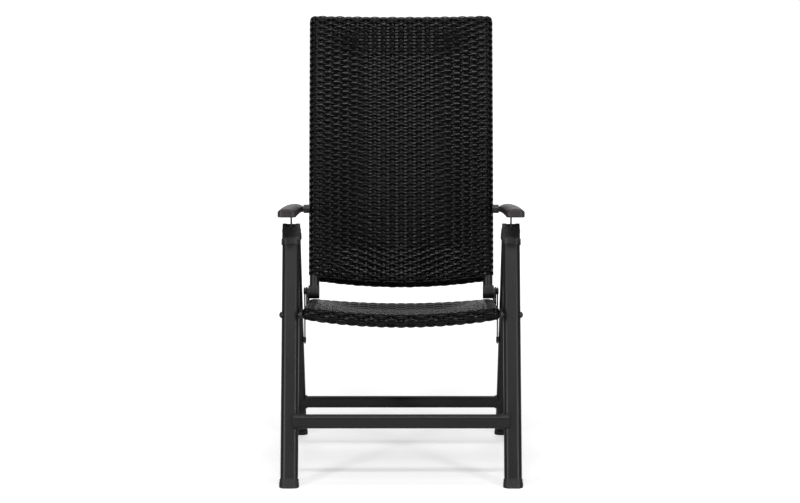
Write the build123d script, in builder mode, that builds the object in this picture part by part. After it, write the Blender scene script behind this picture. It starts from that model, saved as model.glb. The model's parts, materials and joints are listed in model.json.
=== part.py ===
from build123d import *
from math import asin, cos, radians, sin
import os

# Reclining garden armchair: two leg frames hinged under the armrests, a woven seat and back.
# All lengths are in millimetres. X runs across the chair, Y from front to rear, Z up.
# A place in the side view is a (depth, height) pair, its depth counted from the front feet.

# Whole chair
depth_middle = 336.06
running_gap = 0.05
fit_gap = 0.3
overrun = 6.0

# Legs: flat oval tubes, the front pair leaning back and the rear pair leaning forward
front_lean = 19.0
rear_lean = 29.5
leg_spread = 563.8
leg_width = 42.0
leg_depth = 24.0
leg_wall = 1.6
leg_lane = 264.0
leg_inner_face = leg_lane - leg_width / 2
leg_outer_face = leg_lane + leg_width / 2

# Feet: moulded caps over the tube ends
foot_height = 19.0
foot_floor = 11.0
foot_wall = 1.4
foot_lip = 0.8

# Leg hinge under each armrest
hinge_place = (216.0, 578.0)
hinge_round = 19.0
knuckle_round = 18.0
hinge_slot_clear = 1.0
hinge_pin_radius = 4.0
hinge_head_radius = 7.0
hinge_head_height = 2.0
cheek_wall = 10.0
cheek_gap = 0.4
housing_skirt = 36.0
housing_wall = 2.2
leg_end_setback = 22.0
spigot_length = 26.0
fold_reach = 48.5

# Crossbars: flat oval tubes between the legs, welded all round
crossbar_wall = 1.5
front_bar_place = (40.0, 149.5)
front_bar_tall = 34.0
rear_bar_place = (505.0, 97.0)
rear_bar_tall = 30.0
crossbar_deep = 20.0
weld_swell = 2.0
weld_run = 4.0

# Steel plate and crosswise pin that carry the armrest
plate_thickness = 3.5
plate_gap = 0.35
plate_foot_round = 12.0
plate_top_round = 6.0
arm_pin_place = (205.0, 624.0)
arm_pin_radius = 4.0
arm_pin_length = 20.0

# Bolts and spacers
bolt_radius = 4.0
bolt_head_radius = 7.5
bolt_head_height = 6.0
low_head_height = 1.3
spacer_radius = 7.0
bolt_anchor = 22.0

# Seat: two side rails, a front rail and a rear rail, wrapped and woven over
seat_slope = 6.7
rail_radius = 12.5
rail_wall = 1.5
wrap_radius = 15.0
wrap_gap = 0.15
cope_gap = 0.1
wrap_past = 16.0
wrap_end_round = 5.0
rail_lane = 221.5
seat_pivot_place = (130.0, 389.0)
rail_over_pivot = 4.0
seat_front_reach = 30.0
seat_rear_reach = 367.0
seat_front_sag = 17.0
seat_rear_sag = 11.0
weave_thickness = 7.0

# Hinge bracket welded to the outside of each side rail
bracket_thickness = 3.0
bracket_round = 11.0
bracket_foot_round = 7.0
bracket_clear = 0.5
back_pivot_place = (480.0, 382.0)
strap_stud_place = (404.0, 400.0)
stud_radius = 8.0

# Flat steel strap that ties each rear leg to the seat bracket
strap_thickness = 3.0
strap_half_width = 10.0
strap_foot_place = (405.0, 277.0)
strap_side_gap = 0.1
strap_stud_run = 1.6
strap_head_height = 1.4

# Backrest: two side tubes, a top rail and a bottom rail, wrapped and woven over
tube_radius = 12.5
tube_wall = 1.5
back_lane = 218.5
arm_pivot_place = (530.0, 590.0)
back_top_place = (661.0, 1054.0)
back_bow = 12.0
back_bottom_sag = 16.0
back_bottom_run = 46.0
back_wrap_run = 31.0
boss_round = 13.5
boss_length = 18.0
boss_spigot = 20.0
washer_radius = 20.0
arm_spacer_radius = 11.0

# Armrest: crowned moulding with a notched rack let into its underside
arm_inner_face = 247.0
arm_width = 44.0
arm_front_base = (77.0, 630.3)
arm_middle_base = (313.5, 608.0)
arm_rear_base = (550.0, 579.3)
arm_edge = 13.5
arm_crown = 21.0
arm_corner = 11.0
arm_bottom_round = 2.5
arm_top_round = 4.0
groove_radius = 1.3
groove_height = 7.0
rack_front_base = (86.0, 629.6)
rack_rear_base = (226.0, 617.0)
rack_height = 13.0
rack_width = 30.0
rack_wall = 3.0
rack_end = 8.0
roof_gap = 0.4
notch_gap = 0.4
notch_depth = 2.2
notch_pitch = 26.0
notch_count = 5
plate_groove_gap = 1.2
screw_radius = 1.75
screw_head_radius = 3.0
screw_head_height = 1.6
screw_bite = 5.0

# Share of a domed bolt head's height that is its straight rim
rim_share = 0.25

hands = {"left": 1, "right": -1}

# Lanes across the chair, worked outwards from the seat rail
bracket_inner = rail_lane + rail_radius
bracket_outer = bracket_inner + bracket_thickness
strap_inner = bracket_outer + strap_stud_run + strap_side_gap
strap_outer = strap_inner + strap_thickness
tongue_inner = leg_inner_face + cheek_wall + cheek_gap
tongue_outer = leg_outer_face - cheek_wall - cheek_gap
back_outer = back_lane + tube_radius
arm_middle = arm_inner_face + arm_width / 2
arm_outer_face = arm_inner_face + arm_width

os.makedirs("parts", exist_ok=True)


def side_plane(across):
    """Plane square to X at one distance across, drawn in (depth, height)."""
    return Plane(origin=(across, -depth_middle, 0), x_dir=(0, 1, 0), z_dir=(1, 0, 0))


def space_point(across, place):
    """Point in space from a distance across and a (depth, height) pair."""
    return (across, place[0] - depth_middle, place[1])


def save(piece, name):
    piece.part.label = name
    export_step(piece.part, f"parts/{name}.step")


def bar(place, radius, hand, inner, outer, mode=Mode.ADD):
    """Round bar or bore along X, between two distances from the middle plane."""
    with BuildSketch(side_plane(min(hand * inner, hand * outer))) as outline:
        with Locations(place):
            Circle(radius)
    extrude(outline.sketch, amount=outer - inner, mode=mode)


def plate(circles, hand, inner, outer, mode=Mode.ADD):
    """Flat plate square to X, its outline drawn tight round a few circles."""
    with BuildSketch(side_plane(min(hand * inner, hand * outer))) as outline:
        for place, radius in circles:
            with Locations(place):
                Circle(radius)
        make_hull()
    extrude(outline.sketch, amount=outer - inner, mode=mode)


def dome(place, radius, height, hand, face):
    """Domed bolt head that stands outwards on the plane at X = face."""
    cap = height * (1 - rim_share)
    ball = (radius ** 2 + cap ** 2) / (2 * cap)
    half_turn = asin(radius / ball) / 2
    shoulder = (hand * (height - ball + ball * cos(half_turn)), ball * sin(half_turn))
    head_plane = Plane(origin=space_point(hand * face, place), x_dir=(1, 0, 0), z_dir=(0, -1, 0))
    with BuildSketch(head_plane) as outline:
        with BuildLine():
            skirt = Line((0, 0), (0, radius))
            rim = Line(skirt @ 1, (hand * height * rim_share, radius))
            crown = ThreePointArc(rim @ 1, shoulder, (hand * height, 0))
            Line(crown @ 1, (0, 0))
        make_face()
    revolve(outline.sketch, axis=Axis(space_point(hand * face, place), (1, 0, 0)))


# Leg axes in the side view, and how far along them the hinge lies
front_way = (sin(radians(front_lean)), cos(radians(front_lean)))
rear_way = (-sin(radians(rear_lean)), cos(radians(rear_lean)))
front_hinge_run = hinge_place[0] * front_way[0] + hinge_place[1] * front_way[1]
rear_hinge_run = (hinge_place[0] - leg_spread) * rear_way[0] + hinge_place[1] * rear_way[1]
front_top_run = front_hinge_run - leg_end_setback
rear_top_run = rear_hinge_run - leg_end_setback


def on_front_leg(run):
    return (run * front_way[0], run * front_way[1])


def on_rear_leg(run):
    return (leg_spread + run * rear_way[0], run * rear_way[1])


def turned(place, angle):
    """A place swung forward about the leg hinge, as the rear legs are in folding."""
    depth, height = place[0] - hinge_place[0], place[1] - hinge_place[1]
    swing = radians(-angle)
    return (hinge_place[0] + depth * cos(swing) - height * sin(swing),
            hinge_place[1] + depth * sin(swing) + height * cos(swing))


def leg_block(hand, on_leg, way, low_run, high_run, grow, mode=Mode.ADD):
    """Flat oval bar along a leg, larger than the tube by grow all round."""
    foot_point = space_point(hand * leg_lane, on_leg(low_run))
    with BuildSketch(Plane(origin=foot_point, x_dir=(1, 0, 0), z_dir=(0, way[0], way[1]))) as outline:
        SlotOverall(leg_width + 2 * grow, leg_depth + 2 * grow)
    extrude(outline.sketch, amount=high_run - low_run, mode=mode)


def make_foot(hand, on_leg, way, name):
    """Cap with a pocket for the tube, a lip round its foot and a flat underside."""
    with BuildPart() as foot:
        leg_block(hand, on_leg, way, -foot_height, foot_height, foot_wall + fit_gap)
        leg_block(hand, on_leg, way, -foot_height, foot_floor, foot_wall + fit_gap + foot_lip)
        leg_block(hand, on_leg, way, foot_floor, foot_height + overrun, fit_gap, Mode.SUBTRACT)
        split(bisect_by=Plane.XY, keep=Keep.TOP)
    save(foot, name)


def make_crossbar(place, tall, on_leg, way, name):
    """Flat oval tube coped to both legs, with a swollen weld at each end."""
    reach = leg_inner_face + leg_depth / 2
    with BuildPart() as crossbar:
        with BuildSketch(side_plane(-reach)) as outline:
            with Locations(place):
                SlotOverall(tall, crossbar_deep, rotation=90)
        extrude(outline.sketch, amount=2 * reach)
        for hand in hands.values():
            with BuildSketch(side_plane(min(hand * reach, hand * (leg_inner_face - weld_run)))) as outline:
                with Locations(place):
                    SlotOverall(tall + 2 * weld_swell, crossbar_deep + 2 * weld_swell, rotation=90)
            extrude(outline.sketch, amount=reach - leg_inner_face + weld_run)
        with BuildSketch(side_plane(-reach)) as outline:
            with Locations(place):
                SlotOverall(tall - 2 * crossbar_wall, crossbar_deep - 2 * crossbar_wall, rotation=90)
        extrude(outline.sketch, amount=2 * reach, mode=Mode.SUBTRACT)
        for hand in hands.values():
            leg_block(hand, on_leg, way, 0, front_hinge_run, 0, Mode.SUBTRACT)
    save(crossbar, name)


# Legs, feet, hinge housings and knuckles of each side
for side, hand in hands.items():
    with BuildPart() as front_leg:
        leg_block(hand, on_front_leg, front_way, foot_floor + fit_gap, front_top_run, 0)
        leg_block(hand, on_front_leg, front_way, 0, front_hinge_run, -leg_wall, Mode.SUBTRACT)
        bar(seat_pivot_place, bolt_radius + running_gap, hand, leg_inner_face, leg_outer_face, Mode.SUBTRACT)
    save(front_leg, f"front_leg_{side}")

    with BuildPart() as rear_leg:
        leg_block(hand, on_rear_leg, rear_way, foot_floor + fit_gap, rear_top_run, 0)
        leg_block(hand, on_rear_leg, rear_way, 0, rear_hinge_run, -leg_wall, Mode.SUBTRACT)
        bar(strap_foot_place, bolt_radius + running_gap, hand, leg_inner_face, leg_outer_face, Mode.SUBTRACT)
    save(rear_leg, f"rear_leg_{side}")

    make_foot(hand, on_front_leg, front_way, f"front_foot_{side}")
    make_foot(hand, on_rear_leg, rear_way, f"rear_foot_{side}")

    # Housing on the front leg: skirt, spigot and two cheeks round the hinge pin
    rear_top = on_rear_leg(rear_top_run)
    sweep_round = leg_depth / 2 + housing_wall + fit_gap
    with BuildPart() as hinge_housing:
        leg_block(hand, on_front_leg, front_way, front_hinge_run - housing_skirt, front_top_run,
                  housing_wall)
        plate([(on_front_leg(front_top_run), leg_depth / 2), (hinge_place, hinge_round)],
              hand, leg_inner_face, leg_outer_face)
        leg_block(hand, on_front_leg, front_way, 0, front_top_run, fit_gap, Mode.SUBTRACT)
        leg_block(hand, on_front_leg, front_way, front_top_run - spigot_length, front_top_run,
                  -leg_wall - fit_gap)
        plate([(hinge_place, hinge_round + hinge_slot_clear), (rear_top, sweep_round),
               (turned(rear_top, fold_reach / 2), sweep_round), (turned(rear_top, fold_reach), sweep_round)],
              hand, tongue_inner - cheek_gap, tongue_outer + cheek_gap, Mode.SUBTRACT)
        bar(hinge_place, hinge_pin_radius + running_gap, hand, leg_inner_face, leg_outer_face, Mode.SUBTRACT)
    save(hinge_housing, f"hinge_housing_{side}")

    # Knuckle on the rear leg: skirt, spigot and a forked tongue between the cheeks
    with BuildPart() as leg_knuckle:
        leg_block(hand, on_rear_leg, rear_way, rear_hinge_run - housing_skirt, rear_top_run, housing_wall)
        plate([(rear_top, leg_depth / 2), (hinge_place, knuckle_round)], hand, tongue_inner, tongue_outer)
        leg_block(hand, on_rear_leg, rear_way, 0, rear_top_run, fit_gap, Mode.SUBTRACT)
        leg_block(hand, on_rear_leg, rear_way, rear_top_run - spigot_length, rear_top_run,
                  -leg_wall - fit_gap)
        bar(hinge_place, knuckle_round + fit_gap, hand, leg_lane - plate_thickness / 2 - plate_gap,
            leg_lane + plate_thickness / 2 + plate_gap, Mode.SUBTRACT)
        bar(hinge_place, hinge_pin_radius + running_gap, hand, tongue_inner, tongue_outer, Mode.SUBTRACT)
    save(leg_knuckle, f"leg_knuckle_{side}")

    with BuildPart() as pin_plate:
        plate([(hinge_place, plate_foot_round), (arm_pin_place, plate_top_round)], hand,
              leg_lane - plate_thickness / 2, leg_lane + plate_thickness / 2)
        bar(hinge_place, hinge_pin_radius + running_gap, hand, leg_inner_face, leg_outer_face, Mode.SUBTRACT)
        bar(arm_pin_place, arm_pin_radius + running_gap, hand, leg_inner_face, leg_outer_face, Mode.SUBTRACT)
    save(pin_plate, f"pin_plate_{side}")

make_crossbar(front_bar_place, front_bar_tall, on_front_leg, front_way, "front_crossbar")
make_crossbar(rear_bar_place, rear_bar_tall, on_rear_leg, rear_way, "rear_crossbar")

with BuildPart() as hinge_pins:
    for hand in hands.values():
        bar(hinge_place, hinge_pin_radius, hand, leg_inner_face, leg_outer_face)
        dome(hinge_place, hinge_head_radius, hinge_head_height, hand, leg_outer_face)
        bar(hinge_place, hinge_head_radius, hand, leg_inner_face - hinge_head_height, leg_inner_face)
save(hinge_pins, "hinge_pins")

with BuildPart() as arm_pins:
    for hand in hands.values():
        bar(arm_pin_place, arm_pin_radius, hand, leg_lane - arm_pin_length / 2,
            leg_lane + arm_pin_length / 2)
save(arm_pins, "arm_pins")

with BuildPart() as seat_pivot_bolts:
    for hand in hands.values():
        bar(seat_pivot_place, bolt_radius, hand, leg_inner_face - bolt_anchor, leg_outer_face)
        dome(seat_pivot_place, bolt_head_radius, bolt_head_height, hand, leg_outer_face)
save(seat_pivot_bolts, "seat_pivot_bolts")

with BuildPart() as seat_pivot_spacers:
    for hand in hands.values():
        bar(seat_pivot_place, spacer_radius, hand, bracket_inner + strap_side_gap, leg_inner_face)
        bar(seat_pivot_place, bolt_radius + running_gap, hand, bracket_inner, leg_inner_face, Mode.SUBTRACT)
save(seat_pivot_spacers, "seat_pivot_spacers")

# Strap from rear leg to seat bracket. Its upper pivot is where the folding loop is opened:
# the rivet in the strap ends just clear of the stud on the bracket.
with BuildPart() as strap_bolts:
    for hand in hands.values():
        bar(strap_foot_place, bolt_radius, hand, strap_inner, leg_outer_face)
        dome(strap_foot_place, hinge_head_radius, hinge_head_height, hand, leg_outer_face)
        bar(strap_foot_place, spacer_radius, hand, strap_inner - strap_head_height,
            strap_inner - strap_side_gap)
        bar(strap_foot_place, bolt_radius, hand, strap_inner - strap_head_height, strap_inner)
save(strap_bolts, "strap_bolts")

with BuildPart() as strap_spacers:
    for hand in hands.values():
        bar(strap_foot_place, spacer_radius, hand, strap_outer + strap_side_gap, leg_inner_face)
        bar(strap_foot_place, bolt_radius + running_gap, hand, strap_outer, leg_inner_face, Mode.SUBTRACT)
save(strap_spacers, "strap_spacers")

for side, hand in hands.items():
    with BuildPart() as strap:
        plate([(strap_foot_place, strap_half_width), (strap_stud_place, strap_half_width)],
              hand, strap_inner, strap_outer)
        for place in (strap_foot_place, strap_stud_place):
            bar(place, bolt_radius + running_gap, hand, strap_inner, strap_outer, Mode.SUBTRACT)
    save(strap, f"strap_{side}")

with BuildPart() as strap_rivets:
    for hand in hands.values():
        bar(strap_stud_place, bolt_radius, hand, strap_inner, strap_outer)
        bar(strap_stud_place, bolt_head_radius, hand, strap_outer, leg_inner_face - strap_side_gap)
save(strap_rivets, "strap_rivets")

# Seat frame in its own tilted plane: local Y runs back along the side rails
slope = radians(seat_slope)
rail_origin = (seat_pivot_place[0], seat_pivot_place[1] + rail_over_pivot)
seat_plane = Plane(origin=space_point(0, rail_origin), x_dir=(1, 0, 0), z_dir=(0, sin(slope), cos(slope)))


def on_rail(run, above=0):
    """Side-view place on the side rail's axis, run mm behind the seat pivot."""
    return (rail_origin[0] + run * cos(slope) + above * sin(slope),
            rail_origin[1] - run * sin(slope) + above * cos(slope))


cross_rails = {"front": (-seat_front_reach, seat_front_sag), "rear": (seat_rear_reach, seat_rear_sag)}


def rail_bar(hand, radius, mode=Mode.ADD, past=0):
    """Straight side rail, run on past each end of the seat by past."""
    start = space_point(hand * rail_lane, on_rail(-seat_front_reach - past))
    with BuildSketch(Plane(origin=start, x_dir=(1, 0, 0), z_dir=(0, cos(slope), -sin(slope)))) as outline:
        Circle(radius)
    extrude(outline.sketch, amount=seat_front_reach + seat_rear_reach + 2 * past, mode=mode)


def rail_balls(hand, radius, mode=Mode.ADD):
    """Rounded corners where the side rail turns into the cross rails."""
    with Locations(*(space_point(hand * rail_lane, on_rail(run)) for run, sag in cross_rails.values())):
        Sphere(radius, mode=mode)


def sagging_bar(run, sag, radius, mode=Mode.ADD):
    """Cross rail that curves down between the side rails."""
    ends = [Vector(space_point(across, on_rail(run))) for across in (-rail_lane, rail_lane)]
    curve = Edge.make_three_point_arc(ends[0], Vector(space_point(0, on_rail(run, -sag))), ends[1])
    with BuildSketch(Plane(origin=ends[0], z_dir=curve % 0)) as outline:
        Circle(radius)
    sweep(outline.sketch, path=curve, mode=mode)


for side, hand in hands.items():
    with BuildPart() as seat_rail:
        rail_bar(hand, rail_radius)
        rail_balls(hand, rail_radius)
        rail_bar(hand, rail_radius - rail_wall, Mode.SUBTRACT)
        bar(seat_pivot_place, bolt_radius + running_gap, hand, rail_lane, bracket_inner, Mode.SUBTRACT)
    save(seat_rail, f"seat_rail_{side}")

for end, (run, sag) in cross_rails.items():
    with BuildPart() as cross_rail:
        sagging_bar(run, sag, rail_radius)
        sagging_bar(run, sag, rail_radius - rail_wall, Mode.SUBTRACT)
        for hand in hands.values():
            rail_bar(hand, rail_radius + cope_gap, Mode.SUBTRACT, wrap_radius)
    save(cross_rail, f"seat_{end}_rail")

bracket_outline = [(back_pivot_place, bracket_round), (strap_stud_place, bracket_round),
                   (on_rail(seat_rear_reach - bracket_foot_round), bracket_foot_round),
                   (on_rail(strap_stud_place[0] - rail_origin[0]), bracket_foot_round)]
grown_outline = [(place, radius + bracket_clear) for place, radius in bracket_outline]

# Wicker wound round each rail, and the woven panel stretched between the windings
for side, hand in hands.items():
    with BuildPart() as side_wrap:
        rail_bar(hand, wrap_radius, past=wrap_past)
        fillet(side_wrap.faces().filter_by(GeomType.PLANE).edges(), radius=wrap_end_round)
        rail_bar(hand, rail_radius + wrap_gap, Mode.SUBTRACT, rail_radius + fit_gap)
        plate(grown_outline, hand, bracket_inner - wrap_gap, bracket_outer + overrun, Mode.SUBTRACT)
        bar(seat_pivot_place, spacer_radius + bracket_clear, hand, rail_lane, bracket_outer + overrun,
            Mode.SUBTRACT)
        bar(back_pivot_place, washer_radius + bracket_clear, hand, back_outer, bracket_outer + overrun,
            Mode.SUBTRACT)
        for run, sag in cross_rails.values():
            sagging_bar(run, sag, rail_radius + wrap_gap, Mode.SUBTRACT)
    save(side_wrap, f"seat_side_wrap_{side}")

for end, (run, sag) in cross_rails.items():
    with BuildPart() as cross_wrap:
        sagging_bar(run, sag, wrap_radius)
        sagging_bar(run, sag, rail_radius + wrap_gap, Mode.SUBTRACT)
        for hand in hands.values():
            rail_bar(hand, wrap_radius + cope_gap, Mode.SUBTRACT, 2 * wrap_radius)
    save(cross_wrap, f"seat_{end}_wrap")

half_weave = weave_thickness / 2
with BuildPart() as seat_weave:
    for run, sag in cross_rails.values():
        with BuildSketch(Plane(origin=space_point(0, on_rail(run)), x_dir=(-1, 0, 0),
                               z_dir=(0, cos(slope), -sin(slope)))):
            with BuildLine():
                top = ThreePointArc((-rail_lane, half_weave), (0, half_weave - sag), (rail_lane, half_weave))
                right_end = Line(top @ 1, (rail_lane, -half_weave))
                bottom = ThreePointArc(right_end @ 1, (0, -half_weave - sag), (-rail_lane, -half_weave))
                Line(bottom @ 1, top @ 0)
            make_face()
    loft(ruled=True)
    for hand in hands.values():
        rail_bar(hand, wrap_radius + cope_gap, Mode.SUBTRACT, wrap_radius)
    for run, sag in cross_rails.values():
        sagging_bar(run, sag, wrap_radius + cope_gap, Mode.SUBTRACT)
save(seat_weave, "seat_weave")

for side, hand in hands.items():
    with BuildPart() as bracket:
        plate(bracket_outline, hand, bracket_inner, bracket_outer)
        bar(back_pivot_place, bolt_radius + running_gap, hand, bracket_inner, bracket_outer, Mode.SUBTRACT)
    save(bracket, f"back_bracket_{side}")

with BuildPart() as strap_studs:
    for hand in hands.values():
        bar(strap_stud_place, stud_radius, hand, bracket_outer, bracket_outer + strap_stud_run)
save(strap_studs, "strap_studs")

# Bolts that join backrest to seat brackets, and armrests to backrest
with BuildPart() as back_pivot_bolts:
    for hand in hands.values():
        bar(back_pivot_place, bolt_radius, hand, back_lane - tube_radius, bracket_outer + low_head_height)
        bar(back_pivot_place, bolt_head_radius, hand, bracket_outer + running_gap,
            bracket_outer + low_head_height)
save(back_pivot_bolts, "back_pivot_bolts")

with BuildPart() as back_pivot_washers:
    for hand in hands.values():
        bar(back_pivot_place, washer_radius, hand, back_outer + strap_side_gap,
            bracket_inner - strap_side_gap)
        bar(back_pivot_place, bolt_radius + running_gap, hand, back_outer, bracket_inner, Mode.SUBTRACT)
save(back_pivot_washers, "back_pivot_washers")

with BuildPart() as arm_pivot_bolts:
    for hand in hands.values():
        bar(arm_pivot_place, bolt_radius, hand, back_lane, arm_outer_face + strap_side_gap)
        dome(arm_pivot_place, bolt_head_radius, bolt_head_height, hand, arm_outer_face + strap_side_gap)
save(arm_pivot_bolts, "arm_pivot_bolts")

with BuildPart() as arm_pivot_spacers:
    for hand in hands.values():
        bar(arm_pivot_place, arm_spacer_radius, hand, back_outer + strap_side_gap,
            arm_inner_face - strap_side_gap)
        bar(arm_pivot_place, bolt_radius + running_gap, hand, back_outer, arm_inner_face, Mode.SUBTRACT)
save(arm_pivot_spacers, "arm_pivot_spacers")

# Backrest on one gentle curve through the pivot, the armrest bolt and the top rail
back_curve = Edge.make_three_point_arc(Vector(space_point(0, back_pivot_place)),
                                       Vector(space_point(0, arm_pivot_place)),
                                       Vector(space_point(0, back_top_place)))


def on_back(run):
    """Point and upward direction on the middle plane, run mm up the backrest's curve."""
    share = run / back_curve.length
    return back_curve @ share, back_curve % share


def back_bar(hand, low_run, high_run, radius, mode=Mode.ADD):
    """Stretch of a side tube along the backrest's curve."""
    aside = Vector(hand * back_lane, 0, 0)
    low, middle, high = (on_back(run)[0] + aside for run in (low_run, (low_run + high_run) / 2, high_run))
    with BuildSketch(Plane(origin=low, x_dir=(1, 0, 0), z_dir=on_back(low_run)[1])) as outline:
        Circle(radius)
    sweep(outline.sketch, path=Edge.make_three_point_arc(low, middle, high), mode=mode)


def back_ball(hand, radius, mode=Mode.ADD):
    """Rounded corner where a side tube turns into the top rail."""
    with Locations(back_curve @ 1 + Vector(hand * back_lane, 0, 0)):
        Sphere(radius, mode=mode)


def back_cope(hand, radius):
    """Cut that fits a cross piece to a side tube or winding, past its top end too."""
    back_bar(hand, boss_length, back_curve.length, radius + cope_gap, Mode.SUBTRACT)
    top = Plane(origin=back_curve @ 1 + Vector(hand * back_lane, 0, 0), x_dir=(1, 0, 0),
                z_dir=back_curve % 1)
    with BuildSketch(top) as outline:
        Circle(radius + cope_gap)
    extrude(outline.sketch, amount=2 * wrap_radius, mode=Mode.SUBTRACT)


def bowed_bar(run, sag, radius, mode=Mode.ADD):
    """Cross rail bowed to the rear, and down by sag, between the side tubes."""
    point, up = on_back(run)
    rear = Vector(0, up.Z, -up.Y)
    aside = Vector(back_lane, 0, 0)
    curve = Edge.make_three_point_arc(point - aside, point + rear * back_bow - up * sag, point + aside)
    with BuildSketch(Plane(origin=point - aside, z_dir=curve % 0)) as outline:
        Circle(radius)
    sweep(outline.sketch, path=curve, mode=mode)


back_rails = {"top": (back_curve.length, 0), "bottom": (back_bottom_run, back_bottom_sag)}
bare_sleeve = tube_radius + wrap_gap

for side, hand in hands.items():
    with BuildPart() as back_tube:
        back_bar(hand, boss_length, back_curve.length, tube_radius)
        back_ball(hand, tube_radius)
        back_bar(hand, boss_length, back_curve.length, tube_radius - tube_wall, Mode.SUBTRACT)
        bar(arm_pivot_place, bolt_radius + running_gap, hand, back_lane, back_outer, Mode.SUBTRACT)
    save(back_tube, f"back_tube_{side}")

    with BuildPart() as back_boss:
        shoulder = (on_back(boss_length)[0].Y + depth_middle, on_back(boss_length)[0].Z)
        plate([(back_pivot_place, boss_round), (shoulder, tube_radius)], hand,
              back_lane - tube_radius, back_outer)
        back_bar(hand, boss_length, boss_length * 2 + overrun, tube_radius + overrun, Mode.SUBTRACT)
        back_bar(hand, boss_length - fit_gap, boss_length + boss_spigot, tube_radius - tube_wall - fit_gap)
        bar(back_pivot_place, bolt_radius + running_gap, hand, back_lane - tube_radius, back_outer,
            Mode.SUBTRACT)
    save(back_boss, f"back_boss_{side}")

for end, (run, sag) in back_rails.items():
    with BuildPart() as back_rail:
        bowed_bar(run, sag, tube_radius)
        bowed_bar(run, sag, tube_radius - tube_wall, Mode.SUBTRACT)
        for hand in hands.values():
            back_cope(hand, tube_radius)
    save(back_rail, f"back_{end}_rail")

# Wicker wound round the back's tubes, and its woven panel
for side, hand in hands.items():
    with BuildPart() as side_wrap:
        back_bar(hand, back_wrap_run, back_curve.length, wrap_radius)
        crown = Plane(origin=back_curve @ 1 + Vector(hand * back_lane, 0, 0), x_dir=(1, 0, 0),
                      z_dir=back_curve % 1)
        with BuildSketch(crown):
            Circle(wrap_radius)
        extrude(amount=wrap_past)
        fillet(side_wrap.faces().sort_by(Axis.Z)[-1].edges(), radius=wrap_end_round)
        back_bar(hand, back_wrap_run - overrun, back_curve.length, bare_sleeve, Mode.SUBTRACT)
        back_ball(hand, bare_sleeve + cope_gap, Mode.SUBTRACT)
        bar(arm_pivot_place, arm_spacer_radius + bracket_clear, hand, back_lane, arm_inner_face,
            Mode.SUBTRACT)
        for run, sag in back_rails.values():
            bowed_bar(run, sag, bare_sleeve, Mode.SUBTRACT)
    save(side_wrap, f"back_side_wrap_{side}")

for end, (run, sag) in back_rails.items():
    with BuildPart() as cross_wrap:
        bowed_bar(run, sag, wrap_radius)
        bowed_bar(run, sag, bare_sleeve, Mode.SUBTRACT)
        for hand in hands.values():
            back_cope(hand, wrap_radius)
    save(cross_wrap, f"back_{end}_wrap")

with BuildPart() as back_weave:
    low_point, low_up = on_back(back_bottom_run)
    with BuildSketch(Plane(origin=low_point, x_dir=(1, 0, 0), z_dir=low_up)):
        with BuildLine():
            front = ThreePointArc((-back_lane, -half_weave), (0, back_bow - half_weave),
                                  (back_lane, -half_weave))
            right_end = Line(front @ 1, (back_lane, half_weave))
            rear = ThreePointArc(right_end @ 1, (0, back_bow + half_weave), (-back_lane, half_weave))
            Line(rear @ 1, front @ 0)
        make_face()
    high_run = back_curve.length - wrap_radius - cope_gap
    middle_run = (back_bottom_run + high_run) / 2
    sweep(path=Edge.make_three_point_arc(low_point, on_back(middle_run)[0], on_back(high_run)[0]))
    for hand in hands.values():
        back_cope(hand, wrap_radius)
    bowed_bar(*back_rails["bottom"], wrap_radius + cope_gap, Mode.SUBTRACT)
save(back_weave, "back_weave")

# Armrests: one crowned section carried along a shallow arc, rounded, and grooved along both sides
arm_base = [Vector(space_point(0, place)) for place in (arm_front_base, arm_middle_base, arm_rear_base)]
rack_slope = (rack_rear_base[1] - rack_front_base[1]) / (rack_rear_base[0] - rack_front_base[0])
rack_inner = leg_lane - rack_width / 2
rack_outer = leg_lane + rack_width / 2


def rack_base(depth, above=0):
    """Side-view place over the rack's straight underside."""
    return (depth, rack_front_base[1] + (depth - rack_front_base[0]) * rack_slope + above)


def rack_block(hand, front, rear, above, inner, outer, mode=Mode.ADD):
    """Block standing on the rack's underside, seen from the side as a slanted strip."""
    drop = overrun if mode == Mode.SUBTRACT else 0
    with BuildSketch(side_plane(min(hand * inner, hand * outer))) as outline:
        with BuildLine():
            Polyline(rack_base(front, -drop), rack_base(rear, -drop), rack_base(rear, above),
                     rack_base(front, above), close=True)
        make_face()
    extrude(outline.sketch, amount=outer - inner, mode=mode)


def screw_spots(hand):
    """Plan-view places of the two screws that hold the rack."""
    ends = (rack_front_base[0] + rack_end / 2, rack_rear_base[0] - rack_end / 2)
    return [(hand * leg_lane, depth - depth_middle, rack_base(depth)[1]) for depth in ends]


roof = arm_pin_place[1] - rack_base(arm_pin_place[0])[1] + arm_pin_radius + roof_gap
plate_roof = roof - arm_pin_radius + plate_top_round + roof_gap

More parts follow.
